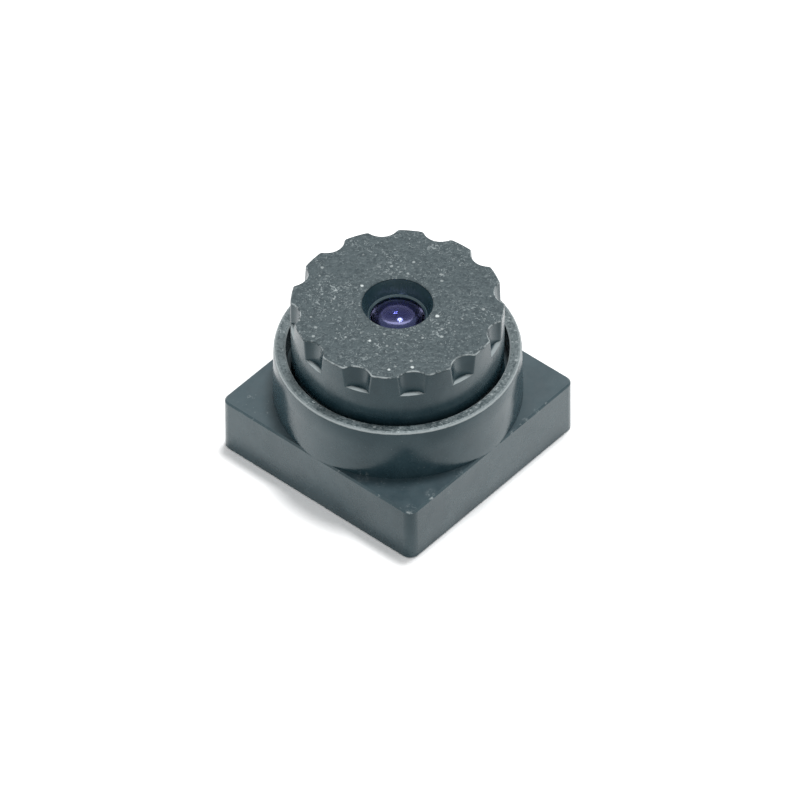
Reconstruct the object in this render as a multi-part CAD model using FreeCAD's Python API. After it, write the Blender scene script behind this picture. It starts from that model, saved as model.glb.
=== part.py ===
"""Small board camera lens: a fluted screw-in barrel in a square moulded holder.

Millimetres. The origin is the centre of the holder's underside, where it stands on a circuit
board, and +Z is the optical axis, towards the scene that the lens looks at.
"""
import FreeCAD, Part
import math
import os

# Screw thread M7 x 0.35. Plain cylinders at the two root diameters carry its ridges.
thread_diameter = 7.0
thread_pitch = 0.35
thread_clearance = 0.02
thread_depth = 0.55 * thread_pitch
thread_length = 1.70
thread_lead_in = 0.10

# Barrel outside: fluted grip head, smooth skirt that enters the collar, threaded shank.
head_overhang = 0.10
head_height = 0.84
head_edge_chamfer = 0.04
skirt_height = 1.18
skirt_entry = 0.30
skirt_edge_chamfer = 0.06
barrel_end_chamfer = 0.12

# Grip flutes, evenly spaced round the head. They grow shallower and narrower on their way
# down, and end on ledges at the top of the skirt.
flute_count = 12
flute_depth = 0.30
flute_scoop_radius = 0.61
flute_draft = 0.08
flute_edge_round = 0.12
flute_first_angle = 18.7

# Holder tower: the round collar. Its foot is flush with the four sides of the block.
tower_height = 2.07
tower_wall = 0.47
tower_draft = 0.05
tower_rim_round = 0.12
tower_rim_facets = 3
mouth_depth = 1.05
mouth_clearance = 0.18
mouth_edge_chamfer = 0.05

# Holder block: the square foot that covers the image sensor.
base_height = 2.15
base_wall = 0.70
base_draft = 0.02
base_corner_round = 0.34
base_top_chamfer = 0.06
base_foot_chamfer = 0.04

# Holder inside, from the board up: sensor cavity, filter pocket, web with its window.
sensor_cavity_depth = 0.85
sensor_cavity_corner = 0.35
filter_pocket_land = 0.45
filter_pocket_corner = 0.12
filter_seat_width = 0.50
web_thickness = 0.25
web_window_flare = 0.12

# Filter plate and the bead of adhesive that holds it in its pocket.
filter_thickness = 0.30
filter_setback = 0.05
bead_width = 0.10
bead_setback = 0.08

# Front window of the barrel: a recess with a bevelled lip that the first lens looks through.
window_diameter = 1.85
window_clearance = 0.02
lip_width = 0.07
lip_thickness = 0.12
lip_bevel = 0.05
recess_depth = 0.55
recess_flare = 0.22
recess_edge_chamfer = 0.03

# Stepped bore of the barrel, loaded from behind.
barrel_wall = 0.54
retainer_step = 0.30
cell_step = 0.35
cell_end_chamfer = 0.10
cell_fit = 0.02
step_relief = 0.03

# Lens elements. A dome swells out of the rim's face, and a hollow sinks into it. A share is
# the radius of the curved face as a part of the radius of the element's rim.
front_rim_height = 0.42
front_dome_height = 0.355
front_back_height = 0.24
front_back_share = 0.55
front_flange_height = 0.27
front_flange_clearance = 0.04
second_rim_height = 0.40
second_hollow_depth = 0.10
second_hollow_share = 0.61
second_dome_height = 0.34
second_dome_share = 0.72
third_rim_height = 0.55
third_hollow_depth = 0.22
third_hollow_share = 0.63
third_dome_height = 0.28
third_dome_share = 0.74
fourth_rim_height = 0.65
fourth_dome_clearance = 0.08
fourth_dome_height = 0.18
fourth_dome_share = 0.76

# Stop, spacer, baffle and retainer between and behind the lens elements.
film_thickness = 0.05
stop_hole_diameter = 0.95
spacer_height = 0.40
spacer_clearance = 0.10
spacer_bore_flare = 0.15
baffle_clearance = 0.10
retainer_height = 0.50
retainer_clearance = 0.15
retainer_bore_flare = 0.30
retainer_slot_width = 0.50
retainer_slot_depth = 0.15

# How far an edge may lie from where it is looked for.
edge_tolerance = 1e-4

# Heights that several pieces share.
filter_pocket_depth = filter_thickness + filter_setback
shelf_level = sensor_cavity_depth + filter_pocket_depth
web_top_level = shelf_level + web_thickness
tower_top_level = base_height + tower_height
mouth_floor_level = tower_top_level - mouth_depth
skirt_bottom_level = tower_top_level - skirt_entry
ledge_level = skirt_bottom_level + skirt_entry + skirt_height
head_top_level = ledge_level + head_height
barrel_end_level = skirt_bottom_level - thread_length
recess_floor_level = head_top_level - recess_depth
lens_seat_level = recess_floor_level - lip_thickness

# Heights down the stack of optical pieces, each seated on the one in front of it.
stop_level = lens_seat_level - front_rim_height
second_level = stop_level - film_thickness
spacer_level = second_level - second_rim_height
third_level = spacer_level - spacer_height
baffle_level = third_level - third_rim_height
fourth_level = baffle_level - film_thickness
retainer_level = fourth_level - fourth_rim_height

# Radii and sides that several pieces share.
outer_root_radius = thread_diameter / 2 - thread_clearance - thread_depth
inner_root_radius = thread_diameter / 2 + thread_clearance
head_radius = thread_diameter / 2 + head_overhang
mouth_radius = head_radius + mouth_clearance
tower_radius = mouth_radius + tower_wall
tower_rim_radius = tower_radius - tower_draft
base_side = 2 * tower_radius
sensor_cavity_side = base_side - 2 * base_wall
filter_pocket_side = sensor_cavity_side - 2 * filter_pocket_land
filter_side = filter_pocket_side - 2 * bead_width
web_window_radius = filter_side / 2 - filter_seat_width
window_radius = window_diameter / 2
recess_radius = window_radius + lip_width
retainer_cell_radius = outer_root_radius - barrel_wall
rear_cell_radius = retainer_cell_radius - retainer_step
middle_cell_radius = rear_cell_radius - cell_step
front_cell_radius = middle_cell_radius - cell_step
front_rim_radius = front_cell_radius - cell_fit
middle_rim_radius = middle_cell_radius - cell_fit
rear_rim_radius = rear_cell_radius - cell_fit
third_hollow_radius = third_hollow_share * middle_rim_radius
third_dome_radius = third_dome_share * middle_rim_radius
fourth_dome_radius = fourth_dome_share * rear_rim_radius
baffle_hole_radius = third_dome_radius + baffle_clearance

up = FreeCAD.Vector(0, 0, 1)
axis_foot = FreeCAD.Vector(0, 0, 0)


def section_point(radius, height):
    """Point of a half section, in the plane through the axis."""
    return FreeCAD.Vector(radius, 0, height)


def turned_edges(edges):
    """Solid of revolution from the closed loop of edges of a half section."""
    face = Part.Face(Part.Wire(Part.__sortEdges__(edges)))
    return face.revolve(axis_foot, up, 360)


def turned(corners):
    """Solid of revolution from the corners (radius, height) of a half section."""
    points = [section_point(radius, height) for radius, height in corners]
    edges = [Part.LineSegment(a, b).toShape() for a, b in zip(points, points[1:] + points[:1])]
    return turned_edges(edges)


def square_block(side, corner_round, low, high):
    """Upright block with a square plan and rounded corners."""
    block = Part.makeBox(side, side, high - low, FreeCAD.Vector(-side / 2, -side / 2, low))
    uprights = [edge for edge in block.Edges if edge.BoundBox.ZLength > (high - low) / 2]
    return block.makeFillet(corner_round, uprights)


def polar(radius, angle, level):
    """Point at a radius and an angle in radians round the axis."""
    return FreeCAD.Vector(radius * math.cos(angle), radius * math.sin(angle), level)


def arc_about(centre, radius, start, end):
    """Arc about a centre from one angle to another, in radians, the shorter way round."""
    middle = (start + end) / 2
    points = [centre + polar(radius, angle, 0) for angle in (start, middle, end)]
    return Part.Arc(*points).toShape()


def square_outline(side, corner_round, level):
    """Closed outline of a square with rounded corners at one height."""
    reach = (side / 2 - corner_round) * math.sqrt(2)
    edges = []
    for quarter in range(4):
        facing = quarter * math.pi / 2
        before = polar(reach, facing - math.pi / 4, level)
        after = polar(reach, facing + math.pi / 4, level)
        outwards = polar(corner_round, facing, 0)
        edges.append(Part.LineSegment(before + outwards, after + outwards).toShape())
        edges.append(arc_about(after, corner_round, facing, facing + math.pi / 2))
    return Part.Wire(Part.__sortEdges__(edges))


def edges_at(shape, level):
    """Edges that lie flat at one height."""
    return [
        edge
        for edge in shape.Edges
        if abs(edge.BoundBox.ZMin - level) < edge_tolerance
        and abs(edge.BoundBox.ZMax - level) < edge_tolerance
    ]


def holder_block():
    """Square foot with drafted sides, its upper edges and the edges of its sole broken."""
    growths = [
        (base_draft - base_foot_chamfer, 0),
        (base_draft, base_foot_chamfer),
        (0, base_height - base_top_chamfer),
        (-base_top_chamfer, base_height),
    ]
    outlines = [
        square_outline(base_side + 2 * growth, base_corner_round + growth, level)
        for growth, level in growths
    ]
    return Part.makeLoft(outlines, True, True)


def holder_tower():
    """Round collar with a drafted wall, its outer rim rounded in a few facets."""
    rim = []
    for step in range(tower_rim_facets + 1):
        angle = step / tower_rim_facets * math.pi / 2
        rim.append(
            (
                tower_rim_radius - tower_rim_round * (1 - math.cos(angle)),
                tower_top_level - tower_rim_round * (1 - math.sin(angle)),
            )
        )
    foot = [(0, tower_top_level), (0, shelf_level), (tower_radius, shelf_level), (tower_radius, base_height)]
    return turned(foot + rim)


def holder_bore():
    """Mouth, lead-in and thread bore above the web, and the flared window through it."""
    above = tower_top_level + mouth_depth
    return turned(
        [
            (0, above),
            (mouth_radius, above),
            (mouth_radius, mouth_floor_level),
            (inner_root_radius + thread_lead_in, mouth_floor_level),
            (inner_root_radius, mouth_floor_level - thread_lead_in),
            (inner_root_radius, web_top_level),
            (web_window_radius + web_window_flare, web_top_level),
            (web_window_radius, web_top_level - web_window_flare),
            (web_window_radius, shelf_level - web_thickness),
            (0, shelf_level - web_thickness),
        ]
    )


def lens_holder():
    """One-piece moulded holder: block, collar, thread bore, filter pocket and sensor cavity."""
    body = holder_block().fuse(holder_tower()).removeSplitter()
    body = body.cut(holder_bore())
    mouth_edge = [
        edge
        for edge in edges_at(body, tower_top_level)
        if edge.BoundBox.XLength < 2 * mouth_radius + edge_tolerance
    ]
    body = body.makeChamfer(mouth_edge_chamfer, mouth_edge)
    body = body.cut(square_block(filter_pocket_side, filter_pocket_corner, 0, shelf_level))
    return body.cut(
        square_block(sensor_cavity_side, sensor_cavity_corner, -base_foot_chamfer, sensor_cavity_depth)
    )


def flute_edges(angle, level, scoop_radius):
    """One scooped flute and the lobe after it, with the rounded corners between them."""
    pitch_angle = 2 * math.pi / flute_count
    scoop_distance = head_radius - flute_depth + flute_scoop_radius
    round_distance = head_radius - flute_edge_round
    touch_distance = scoop_radius + flute_edge_round
    spread = math.acos(
        (round_distance**2 + scoop_distance**2 - touch_distance**2)
        / (2 * round_distance * scoop_distance)
    )
    turn = math.acos(
        (touch_distance**2 + scoop_distance**2 - round_distance**2)
        / (2 * touch_distance * scoop_distance)
    )
    scoop_centre = polar(scoop_distance, angle, level)
    before = polar(round_distance, angle - spread, level)
    after = polar(round_distance, angle + spread, level)
    facing_in = angle + math.pi
    return [
        arc_about(before, flute_edge_round, angle - spread, angle + turn),
        arc_about(scoop_centre, scoop_radius, facing_in + turn, facing_in - turn),
        arc_about(after, flute_edge_round, angle - turn, angle + spread),
        arc_about(
            FreeCAD.Vector(0, 0, level), head_radius, angle + spread, angle + pitch_angle - spread
        ),
    ]


def head_outline(level, scoop_radius):
    """Closed outline of the grip head at one height."""
    edges = []
    for index in range(flute_count):
        angle = math.radians(flute_first_angle) + index * 2 * math.pi / flute_count
        edges += flute_edges(angle, level, scoop_radius)
    return Part.Wire(Part.__sortEdges__(edges))


def grip_head():
    """Fluted upper part of the head, with its top edge broken."""
    lower = head_outline(ledge_level, flute_scoop_radius - flute_draft)
    upper = head_outline(head_top_level, flute_scoop_radius)
    head = Part.makeLoft([lower, upper], True, True)
    return head.makeChamfer(head_edge_chamfer, edges_at(head, head_top_level))


def barrel_outside():
    """Smooth skirt and threaded shank under the grip head."""
    return turned(
        [
            (0, ledge_level),
            (head_radius, ledge_level),
            (head_radius, skirt_bottom_level + skirt_edge_chamfer),
            (head_radius - skirt_edge_chamfer, skirt_bottom_level),
            (outer_root_radius, skirt_bottom_level),
            (outer_root_radius, barrel_end_level + barrel_end_chamfer),
            (outer_root_radius - barrel_end_chamfer, barrel_end_level),
            (0, barrel_end_level),
        ]
    )


def barrel_front_opening():
    """Front recess, its bevelled lip and the window for the first lens."""
    above = head_top_level + recess_flare
    return turned(
        [
            (0, above),
            (recess_radius + recess_flare, above),
            (recess_radius + recess_flare, head_top_level),
            (recess_radius, recess_floor_level),
            (window_radius + lip_bevel, recess_floor_level),
            (window_radius, recess_floor_level - lip_bevel),
            (window_radius, lens_seat_level),
            (0, lens_seat_level),
        ]
    )


def barrel_cells():
    """Stepped bore that holds the lens elements, open at the back."""
    below = barrel_end_level - cell_end_chamfer
    return turned(
        [
            (0, lens_seat_level),
            (front_cell_radius, lens_seat_level),
            (front_cell_radius, spacer_level + step_relief),
            (middle_cell_radius, spacer_level + step_relief),
            (middle_cell_radius, fourth_level + step_relief),
            (rear_cell_radius, fourth_level + step_relief),
            (rear_cell_radius, retainer_level + step_relief),
            (retainer_cell_radius, retainer_level + step_relief),
            (retainer_cell_radius, barrel_end_level + cell_end_chamfer),
            (retainer_cell_radius + 2 * cell_end_chamfer, below),
            (0, below),
        ]
    )


def lens_barrel():
    """One-piece moulded barrel with its fluted head, front window and stepped bore."""
    body = barrel_outside().fuse(grip_head()).removeSplitter()
    body = body.cut(barrel_front_opening())
    recess_edge = [
        edge
        for edge in edges_at(body, head_top_level)
        if edge.BoundBox.XLength < 2 * (recess_radius + recess_flare) + edge_tolerance
        and edge.BoundBox.Center.Length - head_top_level < edge_tolerance
    ]
    body = body.makeChamfer(recess_edge_chamfer, recess_edge)
    return body.cut(barrel_cells())


def lens_face(level, swell, clear_radius):
    """Spherical face from the axis to its rim; the swell is its height at the axis."""
    sphere_radius = (clear_radius**2 + swell**2) / (2 * swell)
    half_way = clear_radius / 2
    drop = sphere_radius - math.copysign(math.sqrt(sphere_radius**2 - half_way**2), swell)
    return Part.Arc(
        section_point(0, level + swell),
        section_point(half_way, level + swell - drop),
        section_point(clear_radius, level),
    ).toShape()


def lens_element(rim_radius, level, rim_height, face_swell, face_radius, back_swell, back_radius):
    """Round lens with a flat rim; a positive swell bulges out and a negative one is hollow."""
    back_level = level - rim_height
    face = lens_face(level, face_swell, face_radius)
    back = lens_face(back_level, -back_swell, back_radius)
    corners = [
        section_point(face_radius, level),
        section_point(rim_radius, level),
        section_point(rim_radius, back_level),
        section_point(back_radius, back_level),
    ]
    sides = [Part.LineSegment(a, b).toShape() for a, b in zip(corners, corners[1:])]
    axis_edge = Part.LineSegment(
        section_point(0, back_level - back_swell), section_point(0, level + face_swell)
    ).toShape()
    return turned_edges([face, back, axis_edge] + sides)


def flat_ring(outer_radius, inner_radius, level, height, flare=0):
    """Flat ring below a level, with its bore flared at the lower face."""
    return turned(
        [
            (inner_radius, level),
            (outer_radius, level),
            (outer_radius, level - height),
            (inner_radius + flare, level - height),
        ]
    )


def front_element():
    """First lens, domed on both faces, with a flange behind that seats it on the stop."""
    back_radius = front_back_share * front_rim_radius
    plate_height = front_rim_height - front_flange_height
    lens = lens_element(
        front_rim_radius,
        lens_seat_level,
        plate_height,
        front_dome_height,
        window_radius - window_clearance,
        front_back_height,
        back_radius,
    )
    flange = flat_ring(
        front_rim_radius,
        back_radius + front_flange_clearance,
        lens_seat_level - plate_height,
        front_flange_height,
    )
    return lens.fuse(flange).removeSplitter()


def second_element():
    """Second lens, hollow in front and strongly domed behind."""
    return lens_element(
        front_rim_radius,
        second_level,
        second_rim_height,
        -second_hollow_depth,
        second_hollow_share * front_rim_radius,
        second_dome_height,
        second_dome_share * front_rim_radius,
    )


def third_element():
    """Third lens, a thick meniscus."""
    return lens_element(
        middle_rim_radius,
        third_level,
        third_rim_height,
        -third_hollow_depth,
        third_hollow_radius,
        third_dome_height,
        third_dome_radius,
    )


def fourth_element():
    """Last lens, a wide corrector whose hollow clears the dome in front of it."""
    return lens_element(
        rear_rim_radius,
        fourth_level,
        fourth_rim_height,
        -(third_dome_height + fourth_dome_clearance),
        baffle_hole_radius,
        fourth_dome_height,
        fourth_dome_radius,
    )


def aperture_stop():
    """Thin opaque film whose hole limits the light."""
    return flat_ring(front_rim_radius, stop_hole_diameter / 2, stop_level, film_thickness)


def spacer_ring():
    """Ring that keeps the second and third lenses apart."""
    bore_radius = third_hollow_radius + spacer_clearance
    return flat_ring(
        middle_rim_radius, bore_radius, spacer_level, spacer_height, spacer_bore_flare
    )


def light_baffle():
    """Thin opaque film that cuts stray light between the last two lenses."""
    return flat_ring(middle_rim_radius, baffle_hole_radius, baffle_level, film_thickness)


def retainer_ring():
    """Ring that closes the barrel behind the last lens, with two slots for its driver."""
    outer_radius = retainer_cell_radius - cell_fit
    bore_radius = fourth_dome_radius + retainer_clearance
    ring = flat_ring(
        outer_radius, bore_radius, retainer_level, retainer_height, retainer_bore_flare
    )
    slot = Part.makeBox(
        4 * outer_radius,
        retainer_slot_width,
        2 * retainer_slot_depth,
        FreeCAD.Vector(
            -2 * outer_radius,
            -retainer_slot_width / 2,
            retainer_level - retainer_height - retainer_slot_depth,
        ),
    )
    return ring.cut(slot)


def filter_plate():
    """Square infrared filter, seated against the shelf under the web."""
    half = filter_side / 2
    corner = FreeCAD.Vector(-half, -half, shelf_level - filter_thickness)
    return Part.makeBox(filter_side, filter_side, filter_thickness, corner)


def filter_bead():
    """Cured adhesive that fills the gap between the filter's edges and its pocket."""
    half = filter_side / 2
    bead_height = filter_thickness - bead_setback
    low = shelf_level - bead_height
    outside = square_block(filter_pocket_side, filter_pocket_corner, low, shelf_level)
    inside = Part.makeBox(
        filter_side, filter_side, bead_height, FreeCAD.Vector(-half, -half, low)
    )
    return outside.cut(inside)


parts = {
    "lens_holder": lens_holder,
    "filter_plate": filter_plate,
    "filter_bead": filter_bead,
    "lens_barrel": lens_barrel,
    "front_element": front_element,
    "aperture_stop": aperture_stop,
    "second_element": second_element,
    "spacer_ring": spacer_ring,
    "third_element": third_element,
    "light_baffle": light_baffle,
    "fourth_element": fourth_element,
    "retainer_ring": retainer_ring,
}

os.makedirs("parts", exist_ok=True)
for name, build in parts.items():
    shape = build()
    solid = shape.Solids[0]
    print(f"{name}: {len(shape.Solids)} solid, valid {shape.isValid()}, {solid.Volume:.3f} mm3")
    shape.exportStep(os.path.join("parts", name + ".step"))
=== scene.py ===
import logging
import math
from dataclasses import dataclass, field
from enum import Enum
from functools import cached_property
from typing import Callable, Optional, Union

import bpy
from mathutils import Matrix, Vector


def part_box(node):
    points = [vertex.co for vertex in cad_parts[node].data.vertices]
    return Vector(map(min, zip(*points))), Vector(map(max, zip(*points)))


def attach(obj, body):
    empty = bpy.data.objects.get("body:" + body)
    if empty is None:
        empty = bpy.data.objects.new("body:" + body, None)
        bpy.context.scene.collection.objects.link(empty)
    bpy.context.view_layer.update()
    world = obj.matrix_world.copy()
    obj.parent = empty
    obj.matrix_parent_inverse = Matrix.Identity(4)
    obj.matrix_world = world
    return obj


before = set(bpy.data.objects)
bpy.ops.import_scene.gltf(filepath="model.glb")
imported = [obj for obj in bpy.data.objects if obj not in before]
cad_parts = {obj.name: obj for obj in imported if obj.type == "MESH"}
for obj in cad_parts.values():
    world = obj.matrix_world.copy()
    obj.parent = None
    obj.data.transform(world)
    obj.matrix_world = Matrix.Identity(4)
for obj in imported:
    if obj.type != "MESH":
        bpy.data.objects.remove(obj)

logging.basicConfig(level=logging.INFO, format="%(message)s")
log = logging.getLogger("board_camera_lens")

MM = 0.001
Colour = tuple[float, float, float]
Span = tuple[float, float]
Socket = bpy.types.NodeSocket
Value = Union[Socket, float]

SEAM_GAP = 0.0001
CREASE_ANGLE = 24.0
THREAD_RADIUS = 3.5
THREAD_PLAY = 0.02
THREAD_DEPTH = 0.1925

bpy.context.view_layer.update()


class Body(Enum):
    """Moving bodies of the part."""

    HOLDER = "holder"
    OPTICS = "optics"
    BARREL = "barrel"


class Slot(Enum):
    """Material slots of the part's record."""

    HOLDER_PLASTIC = "holder_plastic"
    BARREL_PLASTIC = "barrel_plastic"


class Blending(Enum):
    """Ways to join two numbers in a material."""

    ADD = "ADD"
    SUBTRACT = "SUBTRACT"
    MULTIPLY = "MULTIPLY"
    LARGER = "MAXIMUM"


class Ray(Enum):
    """Kinds of ray that see a surface."""

    CAMERA = "Is Camera Ray"
    GLOSSY = "Is Glossy Ray"
    TRANSMISSION = "Is Transmission Ray"


@dataclass(frozen=True)
class Patches:
    """Cloudy pattern: how many clouds to a millimetre, and what its numbers become."""

    per_mm: float
    taken: Span
    given: Span = (0.0, 1.0)
    detail: float = 2.0
    harshness: float = 0.5
    swirl: float = 0.0


@dataclass(frozen=True)
class Specks:
    """Scattered ragged specks.

    The first number says how many could lie in a millimetre and the second which share of them is
    missing. The size is the radius of the largest, as a share of their spacing.
    """

    per_mm: float
    rarity: float
    size: float
    strength: float = 1.0


class NodeSheet:
    """Node tree with short ways to add and join its nodes."""

    def __init__(self, tree: bpy.types.NodeTree) -> None:
        """Empties the tree.

        Args:
            tree: The node tree of a material or of the world.
        """
        self.nodes, self.links = tree.nodes, tree.links
        self.nodes.clear()

    @cached_property
    def place(self) -> bpy.types.Node:
        """Node that gives the place on the piece and the way that its surface faces."""
        return self.nodes.new("ShaderNodeTexCoord")

    @cached_property
    def millimetres(self) -> Socket:
        """Place on the piece, in millimetres."""
        scale = self.nodes.new("ShaderNodeMapping")
        scale.inputs["Scale"].default_value = (1 / MM, 1 / MM, 1 / MM)
        self.links.new(self.place.outputs["Object"], scale.inputs["Vector"])
        return scale.outputs["Vector"]

    def feed(self, socket: Socket, value: Union[Value, Colour]) -> None:
        """Joins a socket to another one, or sets its constant.

        Args:
            socket: The input that takes the value.
            value: An output to join, a number or a colour.
        """
        if isinstance(value, bpy.types.NodeSocket):
            self.links.new(value, socket)
        elif isinstance(value, tuple):
            socket.default_value = (*value, 1.0)[: len(socket.default_value)]
        else:
            socket.default_value = value

    def blend(self, how: Blending, first: Value, second: Value) -> Socket:
        """Joins two numbers.

        Args:
            how: The sum that joins them.
            first: The first number.
            second: The second number.

        Returns:
            The output with the result.
        """
        node = self.nodes.new("ShaderNodeMath")
        node.operation = how.value
        self.feed(node.inputs[0], first)
        self.feed(node.inputs[1], second)
        return node.outputs[0]

    def ramped(self, value: Socket, taken: Span, given: Span = (0.0, 1.0)) -> Socket:
        """Maps a range of numbers onto another with soft ends.

        Args:
            value: The number to map.
            taken: Where the range starts and ends.
            given: What those two ends become.

        Returns:
            The output with the mapped number.
        """
        node = self.nodes.new("ShaderNodeMapRange")
        node.interpolation_type = "SMOOTHSTEP"
        self.feed(node.inputs["Value"], value)
        for name, number in zip(("From Min", "From Max", "To Min", "To Max"), taken + given):
            node.inputs[name].default_value = number
        return node.outputs["Result"]

    def band(self, value: Socket, rise: Span, fall: Span) -> Socket:
        """Picks out a range of numbers.

        Args:
            value: The number to test.
            rise: Where the range starts, from outside to inside.
            fall: Where it ends, from outside to inside.

        Returns:
            The output that is 1 in the range and 0 outside.
        """
        return self.blend(Blending.MULTIPLY, self.ramped(value, rise), self.ramped(value, fall))

    def seen_by(self, *kinds: Ray) -> Socket:
        """Tells the rays that see a surface from those that light it.

        Args:
            kinds: The kinds of ray to count as seeing.

        Returns:
            The output that is 1 for such a ray and 0 for others.
        """
        path = self.nodes.new("ShaderNodeLightPath")
        total = path.outputs[kinds[0].value]
        for kind in kinds[1:]:
            total = self.blend(Blending.LARGER, total, path.outputs[kind.value])
        return total

    def picked(self, switch: Socket, otherwise: Value, chosen: Value) -> Socket:
        """Picks one of two numbers.

        Args:
            switch: The output that picks the chosen number at 1.
            otherwise: The number at 0.
            chosen: The number at 1.

        Returns:
            The output with the number that was picked.
        """
        node = self.nodes.new("ShaderNodeMapRange")
        self.feed(node.inputs["Value"], switch)
        self.feed(node.inputs["To Min"], otherwise)
        self.feed(node.inputs["To Max"], chosen)
        return node.outputs["Result"]

    def noise(
        self, per_mm: float, detail: float = 2.0, harshness: float = 0.5, swirl: float = 0.0
    ) -> Socket:
        """Cloudy pattern through the piece.

        Args:
            per_mm: How many clouds lie in a millimetre.
            detail: How many finer layers it has.
            harshness: How strong the finer layers are.
            swirl: How much the clouds are drawn out of their round shape.

        Returns:
            The output with a number from 0 to 1.
        """
        node = self.nodes.new("ShaderNodeTexNoise")
        node.inputs["Scale"].default_value = per_mm
        node.inputs["Detail"].default_value = detail
        node.inputs["Roughness"].default_value = harshness
        node.inputs["Distortion"].default_value = swirl
        self.links.new(self.millimetres, node.inputs["Vector"])
        return node.outputs["Fac"]

    def patches(self, pattern: Patches) -> Socket:
        """Cloudy pattern with its numbers mapped.

        Args:
            pattern: The pattern.

        Returns:
            The output with the mapped number.
        """
        clouds = self.noise(pattern.per_mm, pattern.detail, pattern.harshness, pattern.swirl)
        return self.ramped(clouds, pattern.taken, pattern.given)

    def grains(self, per_mm: float) -> Socket:
        """Distance to the middle of the nearest of many scattered grains.

        Args:
            per_mm: How many grains lie in a millimetre.

        Returns:
            The output with the distance, as a share of the grains' spacing.
        """
        node = self.nodes.new("ShaderNodeTexVoronoi")
        node.inputs["Scale"].default_value = per_mm
        self.links.new(self.millimetres, node.inputs["Vector"])
        return node.outputs["Distance"]

    def specks(self, pattern: Specks) -> Socket:
        """Ragged specks of many sizes, scattered through the piece.

        Args:
            pattern: The pattern.

        Returns:
            The output with the pattern's strength in a speck and 0 elsewhere.
        """
        size = pattern.size
        node = self.nodes.new("ShaderNodeTexVoronoi")
        node.inputs["Scale"].default_value = pattern.per_mm
        self.links.new(self.millimetres, node.inputs["Vector"])
        draw = self.nodes.new("ShaderNodeSeparateColor")
        self.links.new(node.outputs["Color"], draw.inputs[0])
        reach = self.ramped(draw.outputs[0], (pattern.rarity, 1.0), (0.0, size))
        ragged = self.blend(Blending.MULTIPLY, self.noise(6 * pattern.per_mm), size)
        edge = self.blend(Blending.SUBTRACT, reach, ragged)
        inside = self.blend(Blending.SUBTRACT, edge, node.outputs["Distance"])
        return self.ramped(inside, (-0.75 * size, -0.25 * size), (0.0, pattern.strength))

    def distance_from(self, place: Colour) -> Socket:
        """Distance from a point, in millimetres.

        Args:
            place: The point in millimetres.

        Returns:
            The output with the distance.
        """
        node = self.nodes.new("ShaderNodeVectorMath")
        node.operation = "DISTANCE"
        self.links.new(self.millimetres, node.inputs[0])
        node.inputs[1].default_value = place
        return node.outputs["Value"]

    def along(self, direction: Colour) -> Socket:
        """Distance from the middle along a direction, in millimetres.

        Args:
            direction: The direction, one unit long.

        Returns:
            The output with the distance.
        """
        node = self.nodes.new("ShaderNodeVectorMath")
        node.operation = "DOT_PRODUCT"
        self.links.new(self.millimetres, node.inputs[0])
        node.inputs[1].default_value = direction
        return node.outputs["Value"]

    def radius(self) -> Socket:
        """Distance from the optical axis, in millimetres."""
        flat = self.nodes.new("ShaderNodeVectorMath")
        flat.operation = "MULTIPLY"
        self.links.new(self.millimetres, flat.inputs[0])
        flat.inputs[1].default_value = (1.0, 1.0, 0.0)
        length = self.nodes.new("ShaderNodeVectorMath")
        length.operation = "LENGTH"
        self.links.new(flat.outputs["Vector"], length.inputs[0])
        return length.outputs["Value"]

    def height(self) -> Socket:
        """Height above the board, in millimetres."""
        node = self.nodes.new("ShaderNodeSeparateXYZ")
        self.links.new(self.millimetres, node.inputs[0])
        return node.outputs["Z"]

    def facing_up(self) -> Socket:
        """How far the surface faces up the optical axis, from -1 to 1."""
        node = self.nodes.new("ShaderNodeSeparateXYZ")
        self.links.new(self.place.outputs["Normal"], node.inputs[0])
        return node.outputs["Z"]

    def mixed(self, share: Value, first: Union[Socket, Colour], second: Union[Socket, Colour]) -> Socket:
        """Mixes two colours.

        Args:
            share: The second colour's share.
            first: The colour at a share of 0.
            second: The colour at a share of 1.

        Returns:
            The output with the mixed colour.
        """
        node = self.nodes.new("ShaderNodeMix")
        node.data_type = "RGBA"
        self.feed(node.inputs[0], share)
        self.feed(node.inputs[6], first)
        self.feed(node.inputs[7], second)
        return node.outputs[2]

    def relief(self, height: Socket, depth: float) -> Socket:
        """Bump from a height pattern.

        Args:
            height: The pattern, from 0 to 1.
            depth: The depth of the relief in millimetres.

        Returns:
            The output with the bumped normal.
        """
        node = self.nodes.new("ShaderNodeBump")
        node.inputs["Strength"].default_value = 1.0
        node.inputs["Distance"].default_value = depth * MM
        self.links.new(height, node.inputs["Height"])
        return node.outputs["Normal"]

    def end(self, shader: bpy.types.Node, output: str = "ShaderNodeOutputMaterial") -> None:
        """Ends the sheet with its shader.

        Args:
            shader: The shader.
            output: The kind of output node.
        """
        self.links.new(shader.outputs[0], self.nodes.new(output).inputs["Surface"])


class MaterialSheet(NodeSheet):
    """Node tree of a new material."""

    def __init__(self, name: str) -> None:
        """Starts an empty material.

        Args:
            name: The material's name.
        """
        self.material = bpy.data.materials.new(name)
        self.material.use_nodes = True
        super().__init__(self.material.node_tree)

    def surface(self, **sockets: Union[Value, Colour]) -> bpy.types.Material:
        """Ends the sheet with its surface shader.

        Args:
            sockets: The shader's inputs by name, with underscores for spaces.

        Returns:
            The finished material.
        """
        shader = self.nodes.new("ShaderNodeBsdfPrincipled")
        for name, value in sockets.items():
            self.feed(shader.inputs[name.replace("_", " ")], value)
        self.end(shader)
        return self.material

    def matt(self, tone: Socket) -> bpy.types.Material:
        """Ends the sheet with a plain matt grey.

        Args:
            tone: The brightness.

        Returns:
            The finished material.
        """
        shader = self.nodes.new("ShaderNodeBsdfDiffuse")
        self.links.new(tone, shader.inputs["Color"])
        self.end(shader)
        return self.material


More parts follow.
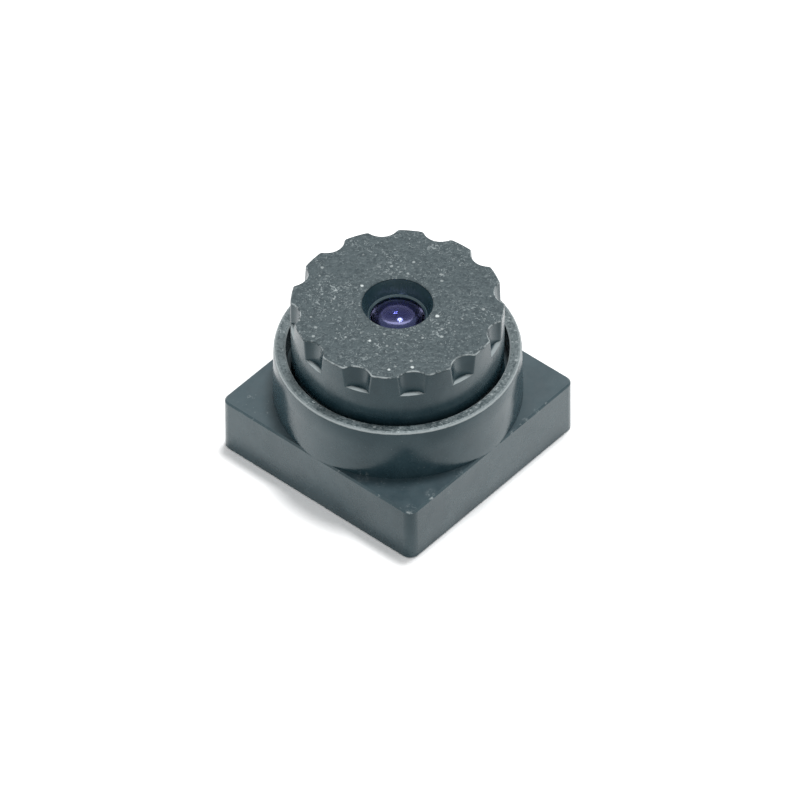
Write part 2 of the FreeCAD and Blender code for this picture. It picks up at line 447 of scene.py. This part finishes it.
@dataclass(frozen=True)
class Scuff:
    """Rubbed spot on a moulding, in millimetres."""

    place: Colour
    reach: float


@dataclass(frozen=True)
class HighlightedWornEdge:
    """Slanted edge between two heights, in millimetres, painted with a broken bright line that is partly
    highlight and partly wear, and the share of its length so painted.
    """

    low: float
    high: float
    share: float
    softness: float = 0.01

    def breaks(self) -> Patches:
        """Pattern that breaks the line of painted highlight and wear, less often where more of it is
        painted.
        """
        start = 0.86 - 0.8 * self.share
        return Patches(2.6, (start, start + 0.16), detail=4, harshness=0.7)


@dataclass(frozen=True)
class MouldedPlastic:
    """Black moulding, smooth off the polished tool and grainy where the tool was spark-eroded."""

    name: str
    grainy_from: float
    # Edges painted with a broken bright line, partly highlight and partly wear.
    highlighted_worn_edges: tuple[HighlightedWornEdge, ...] = ()
    # Ledges painted with a pale highlight along their outer edge.
    highlighted_ledge: Optional[tuple[float, float]] = None
    scuffs: tuple[Scuff, ...] = ()
    colour: Colour = (0.012, 0.037, 0.050)
    pale_colour: Colour = (0.028, 0.060, 0.075)
    pit_colour: Colour = (0.006, 0.019, 0.026)
    grain_colour: Colour = (0.036, 0.056, 0.064)
    # Painted glints: colour of the pale strokes that stand in for light glancing off the grain.
    glint_stroke_colour: Colour = (0.27, 0.31, 0.32)
    # Painted glints and dust: colour of the bright specks, most of which stand in for light glinting off
    # the grain.
    glint_and_dust_speck_colour: Colour = (0.70, 0.76, 0.76)
    # Pale colour of rubs and scuffs, also used for the painted highlights on edges and ledges.
    wear_and_highlight_colour: Colour = (0.42, 0.47, 0.48)
    dust_colour: Colour = (0.088, 0.100, 0.112)
    reflection: Colour = (0.86, 0.98, 1.0)
    index: float = 1.66
    cast: Patches = Patches(0.8, (0.34, 0.66), detail=4, harshness=0.6)
    dust: Patches = Patches(1.7, (0.3, 0.7), (0.06, 0.24), detail=5, harshness=0.7)
    polish: Patches = Patches(2.3, (0.2, 0.8), (0.20, 0.30), detail=3)
    dulling: float = 0.18
    rubs: Patches = Patches(9.0, (0.62, 0.74), (0.0, 0.5), detail=4, harshness=0.75)
    rubbed_areas: Patches = Patches(0.55, (0.50, 0.68), detail=1)
    scuff_shreds: Patches = Patches(8.0, (0.50, 0.68), (0.0, 0.34), 4, 0.7, 1.2)
    # Painted glints: pattern of the pale strokes on the grain.
    glint_stroke_pattern: Patches = Patches(6.0, (0.565, 0.67), harshness=0.6, swirl=2.2)
    glint_stroke_areas: Patches = Patches(0.9, (0.35, 0.65), (0.22, 1.0))
    # Patterns of the bright specks: painted glints, some of them dust.
    specks: Specks = Specks(2.1, 0.74, 0.15)
    small_specks: Specks = Specks(4.6, 0.70, 0.26, 0.4)
    pebbles_per_mm: float = 8.5
    pebble_share: float = 0.22
    cloud_share: float = 0.85
    pit_to_peak: Span = (0.42, 0.60)
    relief_depth: float = 0.030
    skin_share: float = 0.07
    wave_share: float = 0.6
    slant: tuple[Span, Span] = ((0.25, 0.45), (0.985, 0.93))
    outside: Span = (2.2, 2.8)

    def edge_highlight_and_wear(self, sheet: NodeSheet, edge: HighlightedWornEdge) -> Socket:
        """Broken bright line along a slanted edge: painted highlight together with wear.

        Args:
            sheet: The material's sheet.
            edge: The edge.

        Returns:
            The output with the wear, from 0 to 1.
        """
        line = sheet.blend(
            Blending.MULTIPLY,
            sheet.band(sheet.facing_up(), *self.slant),
            sheet.band(
                sheet.height(), (edge.low - edge.softness, edge.low), (edge.high + edge.softness, edge.high)
            ),
        )
        outer = sheet.ramped(sheet.radius(), self.outside)
        broken = sheet.blend(Blending.MULTIPLY, sheet.patches(edge.breaks()), outer)
        return sheet.blend(Blending.MULTIPLY, line, broken)

    def ledge_highlight(self, sheet: NodeSheet, level: float, radius: float) -> Socket:
        """Painted highlight: pale crescent along the outer edge of each ledge, where light catches it.

        Args:
            sheet: The material's sheet.
            level: The ledges' height in millimetres.
            radius: The radius of their outer edge.

        Returns:
            The output with the painted highlight, from 0 to 1.
        """
        near = sheet.band(sheet.height(), (level - 0.07, level - 0.02), (level + 0.03, level + 0.01))
        outer = sheet.ramped(sheet.radius(), (radius - 0.19, radius - 0.10))
        flat = sheet.ramped(sheet.facing_up(), (0.6, 0.9))
        return sheet.blend(Blending.MULTIPLY, near, sheet.blend(Blending.MULTIPLY, outer, flat))

    def wear_and_highlights(self, sheet: NodeSheet) -> Socket:
        """All rubbed places of the moulding, with the painted highlights on its edges and ledges.

        Args:
            sheet: The material's sheet.

        Returns:
            The output with the wear and painted highlights, from 0 to 1.
        """
        total = sheet.blend(Blending.MULTIPLY, sheet.patches(self.rubs), sheet.patches(self.rubbed_areas))
        for edge in self.highlighted_worn_edges:
            total = sheet.blend(Blending.LARGER, total, self.edge_highlight_and_wear(sheet, edge))
        if self.highlighted_ledge is not None:
            total = sheet.blend(Blending.LARGER, total, self.ledge_highlight(sheet, *self.highlighted_ledge))
        shreds = sheet.patches(self.scuff_shreds)
        for scuff in self.scuffs:
            spot = sheet.ramped(sheet.distance_from(scuff.place), (scuff.reach, 0.45 * scuff.reach))
            total = sheet.blend(Blending.LARGER, total, sheet.blend(Blending.MULTIPLY, spot, shreds))
        return total

    def grain(self, sheet: NodeSheet) -> tuple[Socket, Socket]:
        """Colour and height of the spark-eroded texture, with painted glints on it as pale strokes and
        specks.

        Args:
            sheet: The material's sheet.

        Returns:
            The outputs with the colour and with the height.
        """
        peaks = sheet.blend(
            Blending.ADD,
            sheet.blend(Blending.MULTIPLY, sheet.noise(6.5, 2, 0.65, 0.9), self.cloud_share),
            sheet.blend(Blending.MULTIPLY, sheet.grains(self.pebbles_per_mm), self.pebble_share),
        )
        colour = sheet.mixed(sheet.ramped(peaks, self.pit_to_peak), self.pit_colour, self.grain_colour)
        # Painted glints: pale strokes standing in for light glancing off the grain.
        glint_strokes = sheet.blend(
            Blending.MULTIPLY, sheet.patches(self.glint_stroke_pattern), sheet.patches(self.glint_stroke_areas)
        )
        colour = sheet.mixed(glint_strokes, colour, self.glint_stroke_colour)
        # Painted glints and dust: bright ragged specks, mostly standing in for glints of light.
        glint_and_dust_specks = sheet.blend(Blending.LARGER, sheet.specks(self.specks), sheet.specks(self.small_specks))
        return sheet.mixed(glint_and_dust_specks, colour, self.glint_and_dust_speck_colour), peaks

    def make(self) -> bpy.types.Material:
        """Builds the material.

        Returns:
            The finished material.
        """
        sheet = MaterialSheet(self.name)
        join = sheet.blend
        grainy = sheet.ramped(sheet.height(), (self.grainy_from - 0.015, self.grainy_from + 0.015))
        upward = sheet.ramped(sheet.facing_up(), (0.75, 0.98))
        smooth_colour = sheet.mixed(sheet.patches(self.cast), self.colour, self.pale_colour)
        dust = join(Blending.MULTIPLY, upward, sheet.patches(self.dust))
        smooth_colour = sheet.mixed(dust, smooth_colour, self.dust_colour)
        grain_colour, peaks = self.grain(sheet)
        colour = sheet.mixed(grainy, smooth_colour, grain_colour)
        # Rubs and scuffs, and the painted highlights on edges and ledges, in one pale colour.
        colour = sheet.mixed(self.wear_and_highlights(sheet), colour, self.wear_and_highlight_colour)

        skin = join(Blending.MULTIPLY, sheet.noise(16.0, 3, 0.6), self.skin_share)
        waves = join(Blending.MULTIPLY, sheet.noise(0.8, 1), self.wave_share)
        rough_skin = join(Blending.MULTIPLY, peaks, grainy)
        height = join(Blending.ADD, join(Blending.ADD, skin, waves), rough_skin)
        dull = join(Blending.MULTIPLY, join(Blending.LARGER, grainy, upward), self.dulling)
        return sheet.surface(
            Base_Color=colour,
            Roughness=join(Blending.ADD, sheet.patches(self.polish), dull),
            Normal=sheet.relief(height, self.relief_depth),
            IOR=self.index,
            Specular_Tint=self.reflection,
        )


@dataclass(frozen=True)
class CoatedGlass:
    """Polished glass with an anti-reflection coating of one colour."""

    name: str
    colour: Colour
    coating: Colour
    strength: float = 1.0
    index: float = 1.6
    haze: Span = (0.02, 0.06)
    shading: float = 0.8

    def make(self) -> bpy.types.Material:
        """Builds the material.

        Returns:
            The finished material.
        """
        sheet = MaterialSheet(self.name)
        haze = sheet.patches(Patches(1.4, (0.35, 0.75), self.haze, detail=3))
        dust = sheet.ramped(sheet.grains(3.0), (0.10, 0.05), (0.0, 0.25))
        shaded = tuple(self.shading * part for part in self.colour)
        return sheet.surface(
            Base_Color=sheet.mixed(sheet.noise(0.5), self.colour, shaded),
            Roughness=sheet.blend(Blending.ADD, haze, dust),
            Transmission_Weight=1.0,
            IOR=self.index,
            Specular_IOR_Level=self.strength,
            Specular_Tint=self.coating,
        )


@dataclass(frozen=True)
class DullBlack:
    """Dull black film or ring that swallows stray light."""

    name: str
    colour: Colour
    roughness: Span
    grain_per_mm: float
    grain_depth: float
    paling: float = 1.7

    def make(self) -> bpy.types.Material:
        """Builds the material.

        Returns:
            The finished material.
        """
        sheet = MaterialSheet(self.name)
        grain = sheet.noise(self.grain_per_mm, 3, 0.6)
        pale = tuple(self.paling * part for part in self.colour)
        return sheet.surface(
            Base_Color=sheet.mixed(sheet.ramped(grain, (0.35, 0.7)), self.colour, pale),
            Roughness=sheet.patches(Patches(1.8, (0.3, 0.7), self.roughness)),
            Normal=sheet.relief(grain, self.grain_depth),
            IOR=1.5,
        )


@dataclass(frozen=True)
class CuredAdhesive:
    """Clear adhesive, slightly yellow and wavy where it shrank."""

    name: str
    colour: Colour = (0.62, 0.56, 0.40)
    thin_colour: Colour = (0.74, 0.70, 0.56)

    def make(self) -> bpy.types.Material:
        """Builds the material.

        Returns:
            The finished material.
        """
        sheet = MaterialSheet(self.name)
        waves = sheet.noise(3.0)
        bubbles = sheet.ramped(sheet.grains(5.0), (0.22, 0.12))
        return sheet.surface(
            Base_Color=sheet.mixed(waves, self.colour, self.thin_colour),
            Roughness=sheet.ramped(waves, (0.3, 0.7), (0.12, 0.3)),
            Transmission_Weight=0.6,
            IOR=1.49,
            Normal=sheet.relief(sheet.blend(Blending.ADD, waves, bubbles), 0.02),
        )


def deselect_all() -> None:
    """Clears the selection, so that an operator only acts on what is added next."""
    if bpy.context.object is not None and bpy.context.object.mode != "OBJECT":
        bpy.ops.object.mode_set(mode="OBJECT")
    bpy.ops.object.select_all(action="DESELECT")


def dress(node: str, material: bpy.types.Material) -> None:
    """Gives a piece of the frame its material.

    Args:
        node: The piece's name.
        material: The material for all of its faces.
    """
    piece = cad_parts[node]
    piece.data.materials.clear()
    piece.data.materials.append(material)
    log.info("%s: dressed in %s", node, material.name)


def top_of(node: str) -> float:
    """Height of a piece's top above the board, in millimetres."""
    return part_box(node)[1].z / MM


def join_seams(node: str) -> None:
    """Joins a piece's mesh across the seams of its round faces, which then shade evenly.

    Args:
        node: The piece's name.
    """
    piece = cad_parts[node]
    piece.modifiers.new("seams", "WELD").merge_threshold = SEAM_GAP * MM
    creases = piece.modifiers.new("creases", "EDGE_SPLIT")
    creases.split_angle = math.radians(CREASE_ANGLE)
    creases.use_edge_sharp = False


@dataclass
class ThreadRidge:
    """Helical ridge of a right-hand screw thread, in millimetres and turns."""

    name: str
    body: Body
    slot: Slot
    root_radius: float
    crest_radius: float
    low: float
    half_turns: int
    pitch: float = 0.35
    crest_width: float = 0.045
    flank_slope: float = 0.577
    root_overlap: float = 0.012
    steps: int = 26
    fading_steps: int = 12
    ring_reach: float = 0.17
    ring_thickness: float = 0.02
    fade_start: float = 0.6
    smooth_angle: float = 25.0

    def profile(self) -> bpy.types.Object:
        """Draws the ridge's section as a loop of four edges beside the axis.

        Returns:
            The object that holds the loop.
        """
        inward = math.copysign(1.0, self.crest_radius - self.root_radius)
        sunk_root = self.root_radius - inward * self.root_overlap
        depth = abs(self.crest_radius - sunk_root)
        root_width = self.crest_width + 2 * depth * self.flank_slope
        middle = (sunk_root + self.crest_radius) / 2
        deselect_all()
        bpy.ops.mesh.primitive_plane_add(
            size=depth * MM, location=(middle * MM, 0, self.low * MM), rotation=(math.pi / 2, 0, 0)
        )
        ridge = bpy.context.object
        ridge.name = self.name
        bpy.ops.object.transform_apply(location=True, rotation=True, scale=True)
        bpy.ops.object.mode_set(mode="EDIT")
        place = (middle * MM, 0, self.low * MM)
        bpy.ops.mesh.select_all(action="SELECT")
        bpy.ops.transform.resize(value=(1, 1, root_width / depth), center_override=place)
        self.select(ridge, lambda point: inward * (point.x - middle * MM) > 0)
        bpy.ops.transform.resize(value=(1, 1, self.crest_width / root_width), center_override=place)
        bpy.ops.mesh.select_all(action="SELECT")
        bpy.ops.mesh.delete(type="ONLY_FACE")
        bpy.ops.object.mode_set(mode="OBJECT")
        return ridge

    def select(self, ridge: bpy.types.Object, wanted: Callable[[Vector], bool]) -> None:
        """Selects the points of the ridge that pass a test, in edit mode.

        Args:
            ridge: The object in edit mode.
            wanted: The test, which takes a point.
        """
        bpy.ops.mesh.select_mode(type="VERT")
        bpy.ops.mesh.select_all(action="DESELECT")
        bpy.ops.object.mode_set(mode="OBJECT")
        for vertex in ridge.data.vertices:
            vertex.select = bool(wanted(vertex.co))
        bpy.ops.object.mode_set(mode="EDIT")

    def wind(self, ridge: bpy.types.Object) -> None:
        """Winds the section up its helix and closes both ends.

        Args:
            ridge: The object that holds the section.
        """
        screw = ridge.modifiers.new("helix", "SCREW")
        screw.axis = "Z"
        screw.angle = math.pi
        screw.screw_offset = self.pitch / 2 * MM
        screw.iterations = self.half_turns
        screw.steps = self.steps
        screw.render_steps = self.steps
        screw.use_smooth_shade = False
        bpy.ops.object.modifier_apply(modifier=screw.name)
        bpy.ops.object.mode_set(mode="EDIT")
        bpy.ops.mesh.select_all(action="SELECT")
        bpy.ops.mesh.remove_doubles(threshold=1e-7)
        bpy.ops.mesh.fill_holes(sides=4)
        bpy.ops.mesh.select_all(action="SELECT")
        bpy.ops.mesh.normals_make_consistent(inside=False)
        bpy.ops.object.mode_set(mode="OBJECT")

    def fade_ends(self, ridge: bpy.types.Object) -> None:
        """Lets both ends of the ridge run out into the wall that carries it.

        Args:
            ridge: The wound ridge.
        """
        rings = self.half_turns * self.steps
        bpy.ops.object.mode_set(mode="EDIT")
        for index in range(self.fading_steps):
            share = (index + self.fade_start) / (self.fading_steps + self.fade_start)
            for ring in (index, rings - index):
                angle = ring * math.pi / self.steps
                height = self.low + ring * self.pitch / (2 * self.steps)
                place = Vector((math.cos(angle), math.sin(angle), 0)) * self.root_radius * MM
                place.z = height * MM
                self.select(ridge, lambda point: self.near_ring(point, angle, height))
                bpy.ops.transform.resize(value=(share, share, share), center_override=place)
        bpy.ops.object.mode_set(mode="OBJECT")

    def near_ring(self, point: Vector, angle: float, height: float) -> bool:
        """Tells whether a point belongs to one section of the wound ridge.

        Args:
            point: The point.
            angle: The section's angle round the axis, in radians.
            height: The section's height in millimetres.

        Returns:
            True if it does.
        """
        along = Vector((math.cos(angle), math.sin(angle)))
        across = abs(along.x * point.y - along.y * point.x)
        ahead = along.x * point.x + along.y * point.y
        level = abs(point.z - height * MM) < self.ring_reach * MM
        return across < self.ring_thickness * MM and ahead > 0 and level

    def build(self, material: bpy.types.Material) -> bpy.types.Object:
        """Builds and dresses the ridge and lets it ride on its body.

        Args:
            material: The plastic of the piece that carries it.

        Returns:
            The finished ridge.
        """
        ridge = self.profile()
        self.wind(ridge)
        self.fade_ends(ridge)
        bpy.ops.object.shade_smooth_by_angle(angle=math.radians(self.smooth_angle))
        ridge.data.materials.append(material)
        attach(ridge, self.body.value)
        log.info("%s: %d faces", self.name, len(ridge.data.polygons))
        return ridge


@dataclass
class LensHolder:
    """Square moulded holder with its filter and the thread that takes the barrel."""

    base_top: float = 2.15
    edge_break: float = 0.06
    rim_top: float = field(default_factory=lambda: top_of("lens_holder"))
    rim_break: float = 0.12
    scuffs: tuple[Scuff, ...] = (
        Scuff((4.22, 1.10, 2.14), 0.20),
        Scuff((4.22, 1.70, 2.14), 0.17),
        Scuff((4.22, 2.35, 2.14), 0.20),
        Scuff((2.50, -3.80, 2.15), 0.22),
        Scuff((1.85, -3.95, 2.15), 0.30),
        Scuff((4.02, -3.95, 2.15), 0.26),
        Scuff((4.05, -3.00, 2.15), 0.24),
        Scuff((4.05, -1.70, 2.15), 0.28),
        Scuff((4.25, -2.25, 1.85), 0.20),
        Scuff((-3.58, -3.52, 2.15), 0.12),
    )
    thread: ThreadRidge = field(
        default_factory=lambda: ThreadRidge(
            "holder_thread",
            Body.HOLDER,
            Slot.HOLDER_PLASTIC,
            root_radius=THREAD_RADIUS + THREAD_PLAY,
            crest_radius=THREAD_RADIUS + THREAD_PLAY - THREAD_DEPTH,
            low=1.845,
            half_turns=7,
        )
    )

    def build(self) -> None:
        """Dresses the holder's pieces and builds its thread."""
        plastic = MouldedPlastic(
            "holder_plastic",
            grainy_from=self.rim_top - self.rim_break / 2,
            # Base and rim edges: painted highlight and wear.
            highlighted_worn_edges=(
                HighlightedWornEdge(self.base_top - self.edge_break, self.base_top, 0.36),
                HighlightedWornEdge(self.rim_top - self.rim_break, self.rim_top, 0.80),
            ),
            scuffs=self.scuffs,
            pit_colour=(0.040, 0.060, 0.068),
            grain_colour=(0.120, 0.150, 0.158),
            # Paler painted glint strokes on the rim's grain.
            glint_stroke_colour=(0.40, 0.45, 0.46),
        ).make()
        dress("lens_holder", plastic)
        join_seams("lens_holder")
        glass = CoatedGlass("filter_glass", (0.62, 0.86, 0.90), (1.0, 0.45, 0.40), 0.8, 1.52)
        dress("filter_plate", glass.make())
        dress("filter_bead", CuredAdhesive("adhesive").make())
        self.thread.build(plastic)


@dataclass
class LensBarrel:
    """Fluted barrel with its retainer and the thread that screws into the holder."""

    head_top: float = field(default_factory=lambda: top_of("lens_barrel"))
    head_height: float = 0.84
    head_radius: float = 3.60
    edge_break: float = 0.04
    thread: ThreadRidge = field(
        default_factory=lambda: ThreadRidge(
            "barrel_thread",
            Body.BARREL,
            Slot.BARREL_PLASTIC,
            root_radius=THREAD_RADIUS - THREAD_PLAY - THREAD_DEPTH,
            crest_radius=THREAD_RADIUS - THREAD_PLAY,
            low=2.37,
            half_turns=8,
        )
    )

    def build(self) -> None:
        """Dresses the barrel and its retainer and builds its thread."""
        plastic = MouldedPlastic(
            "barrel_plastic",
            grainy_from=self.head_top - self.edge_break,
            # Head's top edge: painted highlight and wear.
            highlighted_worn_edges=(HighlightedWornEdge(self.head_top - self.edge_break, self.head_top, 0.55),),
            # Ledges of the flutes: painted highlight.
            highlighted_ledge=(self.head_top - self.head_height, self.head_radius),
        ).make()
        dress("lens_barrel", plastic)
        join_seams("lens_barrel")
        ring = DullBlack("black_ring", (0.012, 0.013, 0.014), (0.4, 0.55), 12.0, 0.008)
        dress("retainer_ring", ring.make())
        self.thread.build(plastic)


@dataclass
class OpticStack:
    """Glass elements, stop, spacer and baffle inside the barrel."""

    inner_elements: tuple[str, ...] = ("second_element", "third_element", "fourth_element")
    films: tuple[str, ...] = ("aperture_stop", "light_baffle")

    def build(self) -> None:
        """Dresses every piece of the stack."""
        front = CoatedGlass("coated_glass", (0.36, 0.37, 0.68), (0.32, 0.36, 1.0), 1.0, 1.62, (0.08, 0.14))
        dress("front_element", front.make())
        join_seams("front_element")
        inner = CoatedGlass("inner_glass", (0.86, 0.93, 0.90), (0.45, 1.0, 0.62), 0.6, 1.53).make()
        for node in self.inner_elements:
            dress(node, inner)
        film = DullBlack("black_film", (0.006, 0.006, 0.007), (0.5, 0.65), 22.0, 0.003).make()
        for node in self.films:
            dress(node, film)
        spacer = DullBlack("black_spacer", (0.010, 0.011, 0.012), (0.42, 0.6), 14.0, 0.006)
        dress("spacer_ring", spacer.make())


@dataclass
class Studio:
    """Pale floor, soft lamps and the camera at the photograph's angle."""

    azimuth: float = 41.043
    elevation: float = 44.66
    roll: float = -0.299
    distance: float = 311.0
    focal_length: float = 414.1
    aim_height: float = 3.0
    shift_right: float = 0.073
    shift_down: float = 0.947
    sensor_width: float = 36.0
    clip_start: float = 0.02
    floor_radius: float = 3.0
    floor_sides: int = 96
    floor_albedo: float = 0.80
    floor_seen: float = 1.50
    # Floor tone for glossy rays only: painted reflection, brighter near the part and darker towards the
    # camera's side.
    mirrored_near: float = 1.57
    mirrored_far: float = 0.75
    mirrored_from: float = 3.5
    mirrored_to: float = 9.0
    sky_light: float = 0.48
    sky_shine: float = 1.0
    key_share: float = 0.52
    key_distance: float = 0.35
    key_size: float = 0.075
    key_direction: Colour = (-0.03, 0.20, 0.98)

    def build_floor(self) -> None:
        """Lays the floor, which keeps the shadow and looks white beside it. In reflections its tone is
        painted: brighter near the part and darker towards the camera's side.
        """
        deselect_all()
        bpy.ops.mesh.primitive_circle_add(
            vertices=self.floor_sides, radius=self.floor_radius, fill_type="NGON"
        )
        floor = bpy.context.object
        floor.name = "studio_floor"
        sheet = MaterialSheet("studio_floor")
        azimuth = math.radians(self.azimuth)
        # Painted reflection and shade: glossy rays see the floor brighter near the part and darker towards
        # the camera's side.
        painted_reflection_tone = sheet.ramped(
            sheet.along((math.sin(azimuth), -math.cos(azimuth), 0.0)),
            (self.mirrored_from, self.mirrored_to),
            (self.mirrored_near, self.mirrored_far),
        )
        seen = sheet.picked(sheet.seen_by(Ray.CAMERA, Ray.TRANSMISSION), self.floor_albedo, self.floor_seen)
        tone = sheet.picked(sheet.seen_by(Ray.GLOSSY), seen, painted_reflection_tone)
        floor.data.materials.append(sheet.matt(tone))

    def build_sky(self) -> None:
        """Lights the room evenly and keeps it white where it is seen."""
        world = bpy.data.worlds.new("studio_sky")
        world.use_nodes = True
        bpy.context.scene.world = world
        sheet = NodeSheet(world.node_tree)
        shining = sheet.seen_by(Ray.GLOSSY, Ray.TRANSMISSION)
        strength = sheet.picked(shining, self.sky_light, self.sky_shine)
        background = sheet.nodes.new("ShaderNodeBackground")
        background.inputs["Color"].default_value = (1.0, 1.0, 1.0, 1.0)
        strength = sheet.blend(Blending.LARGER, strength, sheet.seen_by(Ray.CAMERA))
        sheet.feed(background.inputs["Strength"], strength)
        sheet.end(background, "ShaderNodeOutputWorld")

    def build_key(self) -> None:
        """Hangs a soft lamp above the part, a little behind it."""
        toward = Vector(self.key_direction).normalized()
        data = bpy.data.lights.new("key_lamp", "AREA")
        data.shape = "DISK"
        data.size = self.key_size
        data.energy = self.key_share * math.pi**2 * self.key_distance**2
        lamp = bpy.data.objects.new("key_lamp", data)
        lamp.location = toward * self.key_distance
        lamp.rotation_euler = toward.to_track_quat("Z", "Y").to_euler()
        bpy.context.scene.collection.objects.link(lamp)

    def build_camera(self) -> None:
        """Stands the camera where the photograph was taken from."""
        azimuth, elevation, roll = (math.radians(v) for v in (self.azimuth, self.elevation, self.roll))
        back = Vector(
            (
                math.sin(azimuth) * math.cos(elevation),
                -math.cos(azimuth) * math.cos(elevation),
                math.sin(elevation),
            )
        )
        level = Vector((math.cos(azimuth), math.sin(azimuth), 0))
        upright = back.cross(level)
        right = level * math.cos(roll) + upright * math.sin(roll)
        up = back.cross(right)
        data = bpy.data.cameras.new("camera")
        data.lens = self.focal_length
        data.sensor_width = self.sensor_width
        data.clip_start = self.clip_start
        camera = bpy.data.objects.new("camera", data)
        place = Vector((0, 0, self.aim_height)) + back * self.distance
        place += right * self.shift_right - up * self.shift_down
        camera.location = place * MM
        turn = camera.rotation_euler.to_matrix()
        turn.col[0], turn.col[1], turn.col[2] = right, up, back
        camera.rotation_euler = turn.to_euler()
        bpy.context.scene.collection.objects.link(camera)
        bpy.context.scene.camera = camera

    def build(self) -> None:
        """Sets up floor, light, camera and the plain view."""
        self.build_floor()
        self.build_sky()
        self.build_key()
        self.build_camera()
        bpy.context.scene.view_settings.view_transform = "Standard"
        log.info("studio: camera at azimuth %.2f, elevation %.2f", self.azimuth, self.elevation)


def main() -> None:
    """Builds the part's look, piece by piece, and the studio round it."""
    LensHolder().build()
    LensBarrel().build()
    OpticStack().build()
    Studio().build()


if __name__ == "__main__":
    main()
